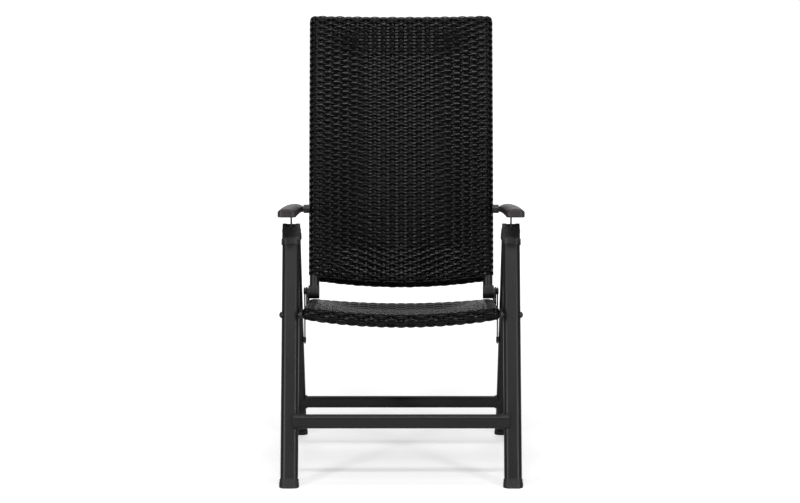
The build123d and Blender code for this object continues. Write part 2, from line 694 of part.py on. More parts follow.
for side, hand in hands.items():
    with BuildPart() as armrest:
        aside = Vector(hand * arm_middle, 0, 0)
        spine = Edge.make_three_point_arc(*(point + aside for point in arm_base))
        with BuildSketch(Plane(origin=spine @ 0, x_dir=(-1, 0, 0), z_dir=spine % 0)):
            with BuildLine():
                base = Line((-arm_width / 2, 0), (arm_width / 2, 0))
                edge = Line(base @ 1, (arm_width / 2, arm_edge))
                crown = ThreePointArc(edge @ 1, (0, arm_crown), (-arm_width / 2, arm_edge))
                Line(crown @ 1, base @ 0)
            make_face()
        sweep(path=spine)
        for end_face in (armrest.faces().sort_by(Axis.Y)[0], armrest.faces().sort_by(Axis.Y)[-1]):
            fillet(end_face.edges().group_by(SortBy.LENGTH)[0], radius=arm_corner)
        fillet(armrest.faces().sort_by(SortBy.AREA)[-1].edges(), radius=arm_top_round)
        fillet(armrest.faces().sort_by(SortBy.AREA)[-1].edges(), radius=arm_bottom_round)
        for across in (arm_inner_face, arm_outer_face):
            rise = Vector(hand * across, 0, groove_height)
            furrow = Edge.make_three_point_arc(*(point + rise for point in arm_base))
            with BuildSketch(Plane(origin=furrow @ 0, z_dir=furrow % 0)) as groove:
                Circle(groove_radius)
            sweep(groove.sketch, path=furrow, mode=Mode.SUBTRACT)
        rack_block(hand, rack_front_base[0], rack_rear_base[0], rack_height, rack_inner, rack_outer,
                   Mode.SUBTRACT)
        bar(arm_pivot_place, bolt_radius + running_gap, hand, arm_inner_face, arm_outer_face, Mode.SUBTRACT)
        with Locations(screw_spots(hand)):
            Cylinder(screw_radius + running_gap, rack_height + screw_bite + running_gap,
                     align=(Align.CENTER, Align.CENTER, Align.MIN), mode=Mode.SUBTRACT)
    save(armrest, f"armrest_{side}")

    with BuildPart() as arm_rack:
        rack_block(hand, rack_front_base[0] + fit_gap, rack_rear_base[0] - fit_gap, rack_height,
                   rack_inner + fit_gap, rack_outer - fit_gap)
        channel_front = rack_front_base[0] + rack_end
        channel_rear = rack_rear_base[0] - rack_end
        rack_block(hand, channel_front, channel_rear, roof, rack_inner + rack_wall, rack_outer - rack_wall,
                   Mode.SUBTRACT)
        groove_half = plate_thickness / 2 + plate_groove_gap
        rack_block(hand, channel_front, channel_rear, plate_roof, leg_lane - groove_half,
                   leg_lane + groove_half, Mode.SUBTRACT)
        for count in range(notch_count):
            depth = arm_pin_place[0] - count * notch_pitch
            notch_top = roof + notch_depth - arm_pin_radius - notch_gap
            bar(rack_base(depth, notch_top), arm_pin_radius + notch_gap, hand, rack_inner + rack_wall,
                rack_outer - rack_wall, Mode.SUBTRACT)
        with Locations(screw_spots(hand)):
            Cylinder(screw_radius + running_gap, 2 * (rack_height + overrun), mode=Mode.SUBTRACT)
            Cylinder(screw_head_radius + running_gap, 2 * screw_head_height, mode=Mode.SUBTRACT)
    save(arm_rack, f"arm_rack_{side}")

with BuildPart() as rack_screws:
    for hand in hands.values():
        with Locations(screw_spots(hand)):
            Cylinder(screw_radius, rack_height + screw_bite, align=(Align.CENTER, Align.CENTER, Align.MIN))
            Cylinder(screw_head_radius, screw_head_height - running_gap,
                     align=(Align.CENTER, Align.CENTER, Align.MIN))
save(rack_screws, "rack_screws")
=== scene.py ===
import json
import math
import bpy
import numpy as np
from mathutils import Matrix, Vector


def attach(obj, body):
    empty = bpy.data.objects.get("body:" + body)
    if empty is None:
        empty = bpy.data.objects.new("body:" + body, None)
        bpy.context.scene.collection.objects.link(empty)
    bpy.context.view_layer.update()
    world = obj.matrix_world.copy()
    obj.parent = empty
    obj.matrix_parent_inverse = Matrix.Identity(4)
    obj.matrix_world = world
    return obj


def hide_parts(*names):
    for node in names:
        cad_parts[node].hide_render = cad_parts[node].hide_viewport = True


# Reclining garden armchair: black coated legs, woven wicker seat and back, moulded armrests.
# Metres, X across, Y from front to rear, Z up.

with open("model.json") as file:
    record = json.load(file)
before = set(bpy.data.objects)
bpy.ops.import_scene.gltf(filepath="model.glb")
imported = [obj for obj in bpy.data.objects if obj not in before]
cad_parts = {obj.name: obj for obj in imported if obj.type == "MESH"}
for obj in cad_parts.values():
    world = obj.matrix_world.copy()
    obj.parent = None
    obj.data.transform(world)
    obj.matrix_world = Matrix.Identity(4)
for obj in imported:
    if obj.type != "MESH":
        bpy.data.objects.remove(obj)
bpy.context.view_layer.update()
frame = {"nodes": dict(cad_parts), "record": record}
nodes = frame["nodes"]
depthMiddle = 0.33606      # side-view depths are counted from the front feet
print("frame loaded, nodes:", len(nodes))


def addNode(tree, kind, values=None, **settings):
    # one shader node with its settings and its plain socket values
    made = tree.nodes.new(kind)
    for key, value in settings.items():
        setattr(made, key, value)
    for key, value in (values or {}).items():
        made.inputs[key].default_value = value
    return made


def mathNode(tree, operation, *operands, clamp=False):
    # one Math node; each operand is a number or a socket
    made = tree.nodes.new("ShaderNodeMath")
    made.operation = operation
    made.use_clamp = clamp
    for place, value in enumerate(operands):
        if isinstance(value, (int, float)):
            made.inputs[place].default_value = value
        else:
            tree.links.new(value, made.inputs[place])
    return made.outputs[0]


def rangeNode(tree, source, span, start=0.0, end=1.0):
    # a socket that runs from start to end, carried over to a span of two values
    made = addNode(tree, "ShaderNodeMapRange", {"From Min": start, "From Max": end,
                                                "To Min": span[0], "To Max": span[1]})
    tree.links.new(source, made.inputs["Value"])
    return made.outputs["Result"]


def mixColour(tree, share, first, second):
    # colour mix; share is a socket, the colours are sockets or rgb triples
    made = addNode(tree, "ShaderNodeMix", data_type="RGBA")
    tree.links.new(share, made.inputs[0])
    for place, value in ((6, first), (7, second)):
        if isinstance(value, tuple):
            made.inputs[place].default_value = (*value, 1)
        else:
            tree.links.new(value, made.inputs[place])
    return made.outputs[2]


def newGroup(name, inputs, outputs):
    # empty shader group; inputs are (name, type, value), outputs are (name, type)
    tree = bpy.data.node_groups.new(name, "ShaderNodeTree")
    for label, kind, value in inputs:
        tree.interface.new_socket(name=label, in_out="INPUT", socket_type=kind).default_value = value
    for label, kind in outputs:
        tree.interface.new_socket(name=label, in_out="OUTPUT", socket_type=kind)
    return tree, tree.nodes.new("NodeGroupInput").outputs, tree.nodes.new("NodeGroupOutput").inputs


def useGroup(tree, group, values):
    # places a group in a material with that material's own values
    made = tree.nodes.new("ShaderNodeGroup")
    made.node_tree = group
    for key, value in values.items():
        made.inputs[key].default_value = value
    return made.outputs


# What all finishes share: heights of their bumps in metres, and how sharply masks begin
grainLook = {"pebbleHeight": 0.0004, "strandHeight": 0.0003, "mottleShare": 0.8, "dustPower": 2.0,
             "scuffContrast": 12.0}


def buildPebbleGroup():
    # orange-peel of a baked coat or the grain of a mould: two noises make a height and a tone
    tree, given, out = newGroup("pebbleGrain", [("Size", "NodeSocketFloat", 900.0),
                                                ("Depth", "NodeSocketFloat", 0.1),
                                                ("Patch", "NodeSocketFloat", 14.0)],
                                [("Normal", "NodeSocketVector"), ("Tone", "NodeSocketFloat")])
    place = addNode(tree, "ShaderNodeTexCoord").outputs["Object"]
    fine = addNode(tree, "ShaderNodeTexNoise", {"Detail": 3.0, "Roughness": 0.55})
    patch = addNode(tree, "ShaderNodeTexNoise", {"Detail": 2.0, "Roughness": 0.5})
    bump = addNode(tree, "ShaderNodeBump", {"Distance": grainLook["pebbleHeight"]})
    for link in ((place, fine.inputs["Vector"]), (place, patch.inputs["Vector"]),
                 (given["Size"], fine.inputs["Scale"]), (given["Patch"], patch.inputs["Scale"]),
                 (given["Depth"], bump.inputs["Strength"]), (fine.outputs["Fac"], bump.inputs["Height"]),
                 (bump.outputs["Normal"], out["Normal"]), (patch.outputs["Fac"], out["Tone"])):
        tree.links.new(*link)
    return tree


def buildDustGroup():
    # dust that has settled: faces that look up, broken by a soft noise
    tree, given, out = newGroup("settledDust", [("Amount", "NodeSocketFloat", 0.3),
                                                ("Scale", "NodeSocketFloat", 30.0)],
                                [("Mask", "NodeSocketFloat")])
    place = addNode(tree, "ShaderNodeTexCoord").outputs["Object"]
    facing = addNode(tree, "ShaderNodeSeparateXYZ")
    tree.links.new(addNode(tree, "ShaderNodeNewGeometry").outputs["Normal"], facing.inputs[0])
    cloud = addNode(tree, "ShaderNodeTexNoise", {"Detail": 4.0, "Roughness": 0.6})
    tree.links.new(place, cloud.inputs["Vector"])
    tree.links.new(given["Scale"], cloud.inputs["Scale"])
    level = mathNode(tree, "MAXIMUM", facing.outputs["Z"], 0.0)
    upward = mathNode(tree, "POWER", level, grainLook["dustPower"])
    broken = mathNode(tree, "MULTIPLY", upward, cloud.outputs["Fac"])
    tree.links.new(mathNode(tree, "MULTIPLY", broken, given["Amount"], clamp=True), out["Mask"])
    return tree


def buildScuffGroup():
    # short hair scratches and rubs: a stretched noise cut off high
    tree, given, out = newGroup("lightScuffs", [("Scale", "NodeSocketFloat", 60.0),
                                                ("Stretch", "NodeSocketVector", (1.0, 1.0, 0.12)),
                                                ("Cut", "NodeSocketFloat", 0.66)],
                                [("Mask", "NodeSocketFloat")])
    place = addNode(tree, "ShaderNodeTexCoord").outputs["Object"]
    stretched = addNode(tree, "ShaderNodeVectorMath", operation="MULTIPLY")
    scratch = addNode(tree, "ShaderNodeTexNoise", {"Detail": 6.0, "Roughness": 0.7})
    for link in ((place, stretched.inputs[0]), (given["Stretch"], stretched.inputs[1]),
                 (stretched.outputs[0], scratch.inputs["Vector"]),
                 (given["Scale"], scratch.inputs["Scale"])):
        tree.links.new(*link)
    above = mathNode(tree, "SUBTRACT", scratch.outputs["Fac"], given["Cut"])
    tree.links.new(mathNode(tree, "MULTIPLY", above, grainLook["scuffContrast"], clamp=True), out["Mask"])
    return tree


def buildStrandGroup():
    # drawn plastic strand: fine grooves along it, a sine of the strand's own UV brought to 0 to 1, and
    # a tone per strand
    tree, given, out = newGroup("strandGrain", [("Grooves", "NodeSocketFloat", 14.0),
                                                ("Depth", "NodeSocketFloat", 0.25),
                                                ("Mottle", "NodeSocketFloat", 60.0)],
                                [("Normal", "NodeSocketVector"), ("Streak", "NodeSocketFloat"),
                                 ("Tone", "NodeSocketFloat")])
    along = addNode(tree, "ShaderNodeUVMap", uv_map="strandMap")
    split = addNode(tree, "ShaderNodeSeparateXYZ")
    tree.links.new(along.outputs[0], split.inputs[0])
    turns = mathNode(tree, "MULTIPLY", split.outputs["Y"], given["Grooves"])
    wave = mathNode(tree, "SINE", mathNode(tree, "MULTIPLY", turns, 2 * math.pi))
    groove = mathNode(tree, "MULTIPLY_ADD", wave, 0.5, 0.5)
    mottle = addNode(tree, "ShaderNodeTexNoise", {"Detail": 3.0, "Roughness": 0.6})
    tree.links.new(addNode(tree, "ShaderNodeTexCoord").outputs["Object"], mottle.inputs["Vector"])
    tree.links.new(given["Mottle"], mottle.inputs["Scale"])
    height = mathNode(tree, "MULTIPLY_ADD", mottle.outputs["Fac"], grainLook["mottleShare"], groove)
    bump = addNode(tree, "ShaderNodeBump", {"Distance": grainLook["strandHeight"]})
    tone = addNode(tree, "ShaderNodeAttribute", attribute_name="strandTone")
    for link in ((height, bump.inputs["Height"]), (given["Depth"], bump.inputs["Strength"]),
                 (bump.outputs["Normal"], out["Normal"]), (mottle.outputs["Fac"], out["Streak"]),
                 (tone.outputs["Fac"], out["Tone"])):
        tree.links.new(*link)
    return tree


pebbleGrain = buildPebbleGroup()
settledDust = buildDustGroup()
lightScuffs = buildScuffGroup()
strandGrain = buildStrandGroup()


def newFinish(name, **sockets):
    # empty material with its Principled shader, constants set on the shader's own sockets
    made = bpy.data.materials.new(name)
    made.use_nodes = True
    shader = made.node_tree.nodes["Principled BSDF"]
    for key, value in sockets.items():
        shader.inputs[key.replace("_", " ")].default_value = value
    return made, made.node_tree, shader


def pebbledFinish(name, look):
    # material with a pebbled surface and a base colour in soft patches between two tones
    made, tree, shader = newFinish(name, Specular_IOR_Level=look["specular"])
    grain = useGroup(tree, pebbleGrain, look["grain"])
    tree.links.new(grain["Normal"], shader.inputs["Normal"])
    base = mixColour(tree, grain["Tone"], look["deep"], look["pale"])
    return made, tree, shader.inputs, base, rangeNode(tree, grain["Tone"], look["rough"])


def rubAndDust(tree, look, base):
    # scuffs rubbed into a base colour, with dust over them; also hands back the dust's mask
    dust = useGroup(tree, settledDust, look["dust"])["Mask"]
    scuff = useGroup(tree, lightScuffs, look["scuff"])["Mask"]
    rubbed = mixColour(tree, mathNode(tree, "MULTIPLY", scuff, look["rubShare"]), base, look["rub"])
    return mixColour(tree, dust, rubbed, look["dusty"]), dust


coatLook = {"specular": 0.3, "grain": {"Size": 1100.0, "Depth": 0.16, "Patch": 9.0},
            "deep": (0.0085, 0.008, 0.0088), "pale": (0.0135, 0.0126, 0.0136), "rough": (0.32, 0.42),
            "scuff": {"Scale": 38.0, "Cut": 0.67}, "rub": (0.034, 0.032, 0.034), "rubShare": 0.35,
            "dust": {"Amount": 0.22, "Scale": 22.0}, "dusty": (0.05, 0.047, 0.046), "dustRough": 0.5}


def makeLegCoat():
    # satin anthracite powder coat: orange-peel, soft patches, a little dust, faint scuffs
    made, tree, sockets, base, rough = pebbledFinish("legCoat", coatLook)
    colour, dust = rubAndDust(tree, coatLook, base)
    tree.links.new(colour, sockets["Base Color"])
    tree.links.new(mathNode(tree, "MULTIPLY_ADD", dust, coatLook["dustRough"], rough), sockets["Roughness"])
    return made


wickerLook = {"specular": 0.15, "grain": {"Grooves": 12.0, "Depth": 0.22, "Mottle": 90.0},
              "deep": (0.0012, 0.0009, 0.001), "pale": (0.0034, 0.0028, 0.003), "streakShare": 0.5,
              "toneShare": 0.5, "dust": {"Amount": 0.05, "Scale": 40.0}, "dusty": (0.02, 0.018, 0.0175),
              "rough": (0.18, 0.3)}


def makeWicker():
    # drawn black plastic strand with fine grooves, a tone of its own and dust on its crests
    look = wickerLook
    made, tree, shader = newFinish("wickerStrand", Specular_IOR_Level=look["specular"])
    grain = useGroup(tree, strandGrain, look["grain"])
    dust = useGroup(tree, settledDust, look["dust"])["Mask"]
    share = mathNode(tree, "MULTIPLY_ADD", grain["Streak"], look["streakShare"],
                     mathNode(tree, "MULTIPLY", grain["Tone"], look["toneShare"]))
    base = mixColour(tree, share, look["deep"], look["pale"])
    tree.links.new(mixColour(tree, dust, base, look["dusty"]), shader.inputs["Base Color"])
    tree.links.new(rangeNode(tree, grain["Streak"], look["rough"]), shader.inputs["Roughness"])
    tree.links.new(grain["Normal"], shader.inputs["Normal"])
    return made


mouldingLook = {"specular": 0.5, "grain": {"Size": 1700.0, "Depth": 0.3, "Patch": 24.0},
                "rough": (0.38, 0.54), "scuff": {"Scale": 70.0, "Stretch": (1.0, 0.15, 1.0), "Cut": 0.68},
                "rub": (0.05, 0.048, 0.047), "rubShare": 0.3, "dusty": (0.08, 0.075, 0.07)}
mouldingTones = {"arm": {"deep": (0.013, 0.009, 0.0096), "pale": (0.022, 0.0158, 0.0167),
                         "dust": {"Amount": 0.22, "Scale": 26.0}},
                 "hinge": {"deep": (0.007, 0.0066, 0.0068), "pale": (0.012, 0.0112, 0.0115),
                           "dust": {"Amount": 0.14, "Scale": 26.0}}}


def makeMoulding(kind):
    # injection moulded cover: fine spark grain, rubbed smoother in patches; the armrests are browner
    look = {**mouldingLook, **mouldingTones[kind]}
    made, tree, sockets, base, rough = pebbledFinish(kind + "Moulding", look)
    tree.links.new(rubAndDust(tree, look, base)[0], sockets["Base Color"])
    tree.links.new(rough, sockets["Roughness"])
    return made


footLook = {"specular": 0.4, "grain": {"Size": 800.0, "Depth": 0.3, "Patch": 40.0},
            "deep": (0.009, 0.009, 0.0095), "pale": (0.016, 0.016, 0.0165), "rough": (0.48, 0.63),
            "scuff": {"Scale": 110.0, "Stretch": (0.3, 0.3, 1.0), "Cut": 0.58},
            "worn": (0.07, 0.068, 0.065), "wornBelow": 0.02, "wornShare": (0.1, 0.7)}


def makeFootPlastic():
    # matt foot cap, scratched and greyed low down where it drags over stone
    made, tree, sockets, base, rough = pebbledFinish("footPlastic", footLook)
    scuff = useGroup(tree, lightScuffs, footLook["scuff"])["Mask"]
    height = addNode(tree, "ShaderNodeSeparateXYZ")
    tree.links.new(addNode(tree, "ShaderNodeTexCoord").outputs["Object"], height.inputs[0])
    low = rangeNode(tree, height.outputs["Z"], footLook["wornShare"], footLook["wornBelow"], 0.0)
    worn = mathNode(tree, "MULTIPLY", scuff, low)
    tree.links.new(mixColour(tree, worn, base, footLook["worn"]), sockets["Base Color"])
    tree.links.new(rough, sockets["Roughness"])
    return made


rackLook = {"specular": 0.5, "grain": {"Size": 1300.0, "Depth": 0.12, "Patch": 60.0},
            "deep": (0.012, 0.012, 0.013), "pale": (0.022, 0.022, 0.023), "rough": (0.28, 0.48)}


def makeRackPlastic():
    # slightly greasy nylon rack, polished by the pin
    made, tree, sockets, base, rough = pebbledFinish("rackPlastic", rackLook)
    tree.links.new(base, sockets["Base Color"])
    tree.links.new(rough, sockets["Roughness"])
    return made


boltLook = {"specular": 0.5, "grain": {"Size": 1500.0, "Depth": 0.1, "Patch": 120.0},
            "deep": (0.012, 0.012, 0.0125), "pale": (0.024, 0.024, 0.025), "rough": (0.26, 0.46),
            "scuff": {"Scale": 240.0, "Stretch": (0.4, 1.0, 1.0), "Cut": 0.62},
            "rub": (0.16, 0.16, 0.165), "rubShare": 0.5, "metalShare": 0.7}


def makeBoltSteel():
    # blackened steel with bright rubs where a spanner or a washer has turned on it
    made, tree, sockets, base, rough = pebbledFinish("boltSteel", boltLook)
    rub = useGroup(tree, lightScuffs, boltLook["scuff"])["Mask"]
    bright = mathNode(tree, "MULTIPLY", rub, boltLook["rubShare"])
    tree.links.new(mixColour(tree, bright, base, boltLook["rub"]), sockets["Base Color"])
    tree.links.new(mathNode(tree, "MULTIPLY", rub, boltLook["metalShare"]), sockets["Metallic"])
    tree.links.new(rough, sockets["Roughness"])
    return made


finishes = {"frame_coat": makeLegCoat(), "wicker": makeWicker(), "moulding": makeMoulding("hinge"),
            "foot_plastic": makeFootPlastic(), "rack_plastic": makeRackPlastic(),
            "bolt_steel": makeBoltSteel()}
armFinish = makeMoulding("arm")
print("finishes made:", ", ".join(finishes))

# Every CAD node takes its slot's finish
slotOf = {entry["node"]: entry["material_slot"] for entry in frame["record"]["subparts"]}
for name, node in nodes.items():
    for place in node.material_slots:
        place.material = armFinish if name.startswith("armrest") else finishes[slotOf[name]]
print("CAD nodes dressed:", len(slotOf))


def putMesh(name, verts, quads, caps, stripMap, tones, body, replaced):
    # whole arrays into one mesh: quads and end caps, the strand map as UV, one tone per point
    made = bpy.data.meshes.new(name)
    loopVerts = np.concatenate([quads.ravel(), caps.ravel()]).astype(np.int32)
    sizes = np.concatenate([np.full(len(quads), 4), np.full(len(caps), caps.shape[1])])
    made.vertices.add(len(verts))
    made.vertices.foreach_set("co", verts.astype(np.float32).ravel())
    made.loops.add(len(loopVerts))
    made.loops.foreach_set("vertex_index", loopVerts)
    made.polygons.add(len(sizes))
    made.polygons.foreach_set("loop_start", np.concatenate([[0], np.cumsum(sizes)[:-1]]).astype(np.int32))
    made.update(calc_edges=True)
    layer = made.uv_layers.new(name="strandMap")
    layer.data.foreach_set("uv", stripMap[loopVerts].astype(np.float32).ravel())
    tone = made.attributes.new("strandTone", "FLOAT", "POINT")
    tone.data.foreach_set("value", tones.astype(np.float32))
    made.shade_smooth()
    made.materials.append(finishes["wicker"])
    made.validate()
    piece = bpy.data.objects.new(name, made)
    bpy.context.scene.collection.objects.link(piece)
    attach(piece, body)
    if replaced:
        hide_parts(*replaced)
    print(name, "faces:", len(sizes))


# The weave. Rows run across, over and under the stakes, which run from rail to rail. Pitch, half, thick
# and swing are metres, steps are points per pitch, turns are radians round a tube or rail, quarters are
# quarter turns round a rail. The swing fades over fadeLength, from fadeStart before an edge.
weaveLook = {"rowPitch": 0.0078, "rowHalf": 0.0047, "rowThick": 0.0014, "rowSides": 8, "rowSteps": 6,
             "rowSwing": 0.0021, "edgePitch": 0.009, "edgeSwing": 0.0011, "edgeSteps": 4,
             "fadeStart": 0.02, "fadeLength": 0.018, "stakeHalf": 0.0075, "stakeThick": 0.0009,
             "stakeSides": 6, "stakeSteps": 4, "stakeSwing": 0.0009, "stakeMargin": 0.3,
             "tapePower": 0.8, "normalStep": 1e-4, "liftStart": 0.4, "railGap": 0.0001,
             "tubeTurn": 5.4, "cornerTurn": math.pi, "railTurn": 4.5, "cornerQuarters": 0.95,
             "bareQuarters": 2.9}


def strandArrays(centres, normals, halfWidth, halfThick, sides, seed):
    # section points: centre + side vector * halfWidth * cos + normal * halfThick * sin, the cosine
    # flattened to a rounded tape; centres and normals are (strand, step, 3)
    along = np.gradient(centres, axis=1)
    along /= np.linalg.norm(along, axis=2, keepdims=True)
    across = np.cross(normals, along)
    across /= np.linalg.norm(across, axis=2, keepdims=True)
    out = np.cross(along, across)
    turn = (np.arange(sides) + 0.5) * 2 * np.pi / sides
    wide = np.sign(np.cos(turn)) * np.abs(np.cos(turn)) ** weaveLook["tapePower"] * halfWidth
    thick = np.sin(turn) * halfThick
    verts = (centres[:, :, None] + across[:, :, None] * wide[:, None]
             + out[:, :, None] * thick[:, None])
    count, steps = centres.shape[:2]
    ids = np.arange(count * steps * sides).reshape(count, steps, sides)
    ring = np.roll(ids, -1, axis=2)
    quads = np.stack([ids[:, :-1], ring[:, :-1], ring[:, 1:], ids[:, 1:]], axis=-1).reshape(-1, 4)
    caps = np.concatenate([ids[:, 0, ::-1], ids[:, -1]])
    length = np.cumsum(np.linalg.norm(np.diff(centres, axis=1, prepend=centres[:, :1]), axis=2), axis=1)
    stripMap = np.stack(np.broadcast_arrays(length[:, :, None], turn / (2 * np.pi)), axis=-1).reshape(-1, 2)
    tones = np.repeat(np.random.default_rng(seed).random(count), steps * sides)
    return verts.reshape(-1, 3), quads, caps, stripMap, tones


def joinArrays(parts):
    # several sets of strands as one: the face indices of each move up by the points before it
    start = np.cumsum([0] + [len(part[0]) for part in parts[:-1]])
    verts, stripMap, tones = (np.concatenate([part[k] for part in parts]) for k in (0, 3, 4))
    quads, caps = (np.concatenate([part[k] + s for part, s in zip(parts, start)]) for k in (1, 2))
    return verts, quads, caps, stripMap, tones


def easeIn(value, start):
    # 0 up to start, then a smooth step to 1
    share = np.clip((value - start) / (1 - start), 0, 1)
    return share * share * (3 - 2 * share)


# Both skins reach from lane to lane across and from low to high along the run. smoothRail is the rail
# that the rows wrap without much swing, rowOffset the first row's place in pitches past low.
backShape = {"lane": 0.2185, "low": 0.046, "high": 0.696128, "radius": 0.013, "bow": 0.012, "sag": 0.016,
             "stakePitch": 0.0223, "stakes": 9, "easeStart": 0.72, "rowOffset": 0.5, "smoothRail": "low",
             "curveDepth": 9.12505, "curveHeight": -1.58613, "curveRadius": 8.866255,
             "curveStart": 2.917748}
seatShape = {"lane": 0.2215, "low": -0.030, "high": 0.367, "radius": 0.013, "frontSag": 0.017,
             "rearSag": 0.011, "stakePitch": 0.0236, "stakes": 8, "easeStart": 0.65, "rowOffset": 0.45,
             "smoothRail": "high", "slope": 6.7, "originDepth": 0.130, "originHeight": 0.393}


def skinPlace(shape, across, run):
    # flat and level are the place on the panel, around and over the angles past tubes and rails,
    # u the share of the half width and along the share of the run
    flat = np.clip(across, -shape["lane"], shape["lane"])
    level = np.clip(run, shape["low"], shape["high"])
    around = (across - flat) / shape["radius"]
    over = (run - level) / shape["radius"]
    along = (level - shape["low"]) / (shape["high"] - shape["low"])
    return flat, level, around, over, flat / shape["lane"], along


def liftSkin(shape, middle, out, onward, side, around, over, u, along):
    # near tubes and rails the skin rises by their radius, and past them it turns round them:
    # cos over * (out * cos around + side * sin around) + onward * sin over
    turned = (np.cos(over) * np.cos(around))[..., None] * out + np.sin(over)[..., None] * onward \
        + (np.cos(over) * np.sin(around))[..., None] * side
    sideways = easeIn(np.abs(u), weaveLook["liftStart"])
    lengthways = easeIn(np.abs(2 * along - 1), shape["easeStart"])
    lift = 1 - (1 - sideways) * (1 - lengthways)
    return middle + turned * (shape["radius"] * lift)[..., None], turned


def backSkin(across, run):
    # back: a side-view arc, centre + radius * (cos angle, sin angle), less a parabola across that bows
    # it rearwards; its lower rows sag by a parabola with the bottom rail
    b = backShape
    flat, level, around, over, u, along = skinPlace(b, across, run)
    angle = b["curveStart"] - (level - b["sag"] * (1 - u * u) * (1 - along)) / b["curveRadius"]
    zero = np.zeros_like(angle)
    up = np.stack([zero, np.sin(angle), -np.cos(angle)], axis=-1)
    front = np.stack([zero, np.cos(angle), np.sin(angle)], axis=-1)
    side = np.stack([zero + 1, zero, zero], axis=-1)
    middle = np.stack([flat, b["curveDepth"] + b["curveRadius"] * np.cos(angle) - depthMiddle,
                       b["curveHeight"] + b["curveRadius"] * np.sin(angle)], axis=-1)
    middle = middle - front * (b["bow"] * (1 - u * u))[..., None]
    return liftSkin(b, middle, front, up, side, around, over, u, along)


def seatSkin(across, run):
    # seat: a plane sloping down to the rear, origin + across * side + run * rear, less a parabola
    # across whose sag changes evenly from the front rail's to the rear rail's
    s = seatShape
    flat, level, around, over, u, along = skinPlace(s, across, run)
    slope = math.radians(s["slope"])
    up = np.array([0, math.sin(slope), math.cos(slope)])
    rear = np.array([0, math.cos(slope), -math.sin(slope)])
    side = np.array([1.0, 0, 0])
    sag = (s["frontSag"] + (s["rearSag"] - s["frontSag"]) * along) * (1 - u * u)
    origin = np.array([0, s["originDepth"] - depthMiddle, s["originHeight"]])
    middle = origin + flat[..., None] * side + level[..., None] * rear - sag[..., None] * up
    return liftSkin(s, middle, up, rear, side, around, over, u, along)


def withNormals(place, across, run):
    # skin points with their normals: the cross product of a short step across and one along the run,
    # turned to the outside
    step = weaveLook["normalStep"]
    points, out = place(across, run)
    sideways = place(across + step, run)[0] - place(across - step, run)[0]
    onwards = place(across, run + step)[0] - place(across, run - step)[0]
    normals = np.cross(sideways, onwards)
    normals *= np.sign(np.sum(normals * out, axis=-1, keepdims=True))
    return points, normals / np.linalg.norm(normals, axis=-1, keepdims=True)


def stakeCount(shape, across):
    # how many stakes out a place is, signed: wide steps as far as half a pitch past the last stake,
    # narrow steps from there on round the tube
    pitch = shape["stakePitch"]
    last = (math.floor(shape["lane"] / pitch - weaveLook["stakeMargin"]) + 0.5) * pitch
    past = np.maximum(np.abs(across) - last, 0) / weaveLook["edgePitch"]
    return np.sign(across) * (np.minimum(np.abs(across), last) / pitch + past)


def swingAt(shape, across, run):
    # the wave is full on the panel and on the rail in view, and small on the tubes and the smooth rail
    beyond = shape["low"] - run if shape["smoothRail"] == "low" else run - shape["high"]
    past = np.maximum(np.abs(across) - shape["lane"], beyond)
    near = np.clip((past + weaveLook["fadeStart"]) / weaveLook["fadeLength"], 0, 1)
    return weaveLook["rowSwing"] + (weaveLook["edgeSwing"] - weaveLook["rowSwing"]) * near


def rowStart(shape):
    # run of row number 0
    return shape["low"] + shape["rowOffset"] * weaveLook["rowPitch"]


def rowStrands(skin, shape, rows, start, end, steps, seed):
    # rows across: the skin plus its normal * swing * cos(pi * (stakes passed + row number)), so that
    # each row goes over every other stake and its neighbours over the rest
    across = np.linspace(start, end, steps)[None, :] + np.zeros((len(rows), 1))
    run = rows[:, None] * weaveLook["rowPitch"] + rowStart(shape) + np.zeros((1, steps))
    centres, normals = withNormals(skin, across, run)
    phase = np.cos(np.pi * (stakeCount(shape, across) + rows[:, None]))
    wave = phase * swingAt(shape, across, run)
    return strandArrays(centres + normals * wave[..., None], normals, weaveLook["rowHalf"],
                        weaveLook["rowThick"], weaveLook["rowSides"], seed)


def stakeStrands(skin, shape, places, start, end, steps, seed):
    # stakes along the run: the skin minus its normal * swing * cos(pi * (stake number + rows passed))
    across = places[:, None] + np.zeros((1, steps))
    run = np.linspace(start, end, steps)[None, :] + np.zeros((len(places), 1))
    centres, normals = withNormals(skin, across, run)
    passed = (run - rowStart(shape)) / weaveLook["rowPitch"]
    wave = -np.cos(np.pi * (np.round(stakeCount(shape, across)) + passed)) * weaveLook["stakeSwing"]
    return strandArrays(centres + normals * wave[..., None], normals, weaveLook["stakeHalf"],
                        weaveLook["stakeThick"], weaveLook["stakeSides"], seed)


def rowRange(shape, low, high):
    # row numbers whose run lies between two values
    first = math.ceil((low - rowStart(shape)) / weaveLook["rowPitch"])
    last = math.floor((high - rowStart(shape)) / weaveLook["rowPitch"])
    return np.arange(first, last + 1)


def rowsPast(shape, rail, reach):
    # row numbers past one rail's crest, as far as a reach along the skin
    if rail == "low":
        return rowRange(shape, shape["low"] - reach, shape["low"] - weaveLook["railGap"])
    return rowRange(shape, shape["high"] + weaveLook["railGap"], shape["high"] + reach)


# Each piece's seed for the tones of its strands; the side windings count on from theirs
toneSeeds = {"back_panel_rows": 3, "back_top_winding": 5, "back_bottom_winding": 7, "back_stakes": 9,
             "back_side_winding": 20, "seat_panel_rows": 31, "seat_front_winding": 33,
             "seat_rear_winding": 35, "seat_stakes": 37, "seat_side_winding": 50}


def addRows(name, skin, shape, rows, reach, body, node):
    # one piece of rows that lie between -reach and reach across
    steps = int(2 * shape["lane"] / shape["stakePitch"] * weaveLook["rowSteps"]) + 1
    arrays = rowStrands(skin, shape, rows, -reach, reach, steps, toneSeeds[name])
    putMesh(name, *arrays, body, [node])


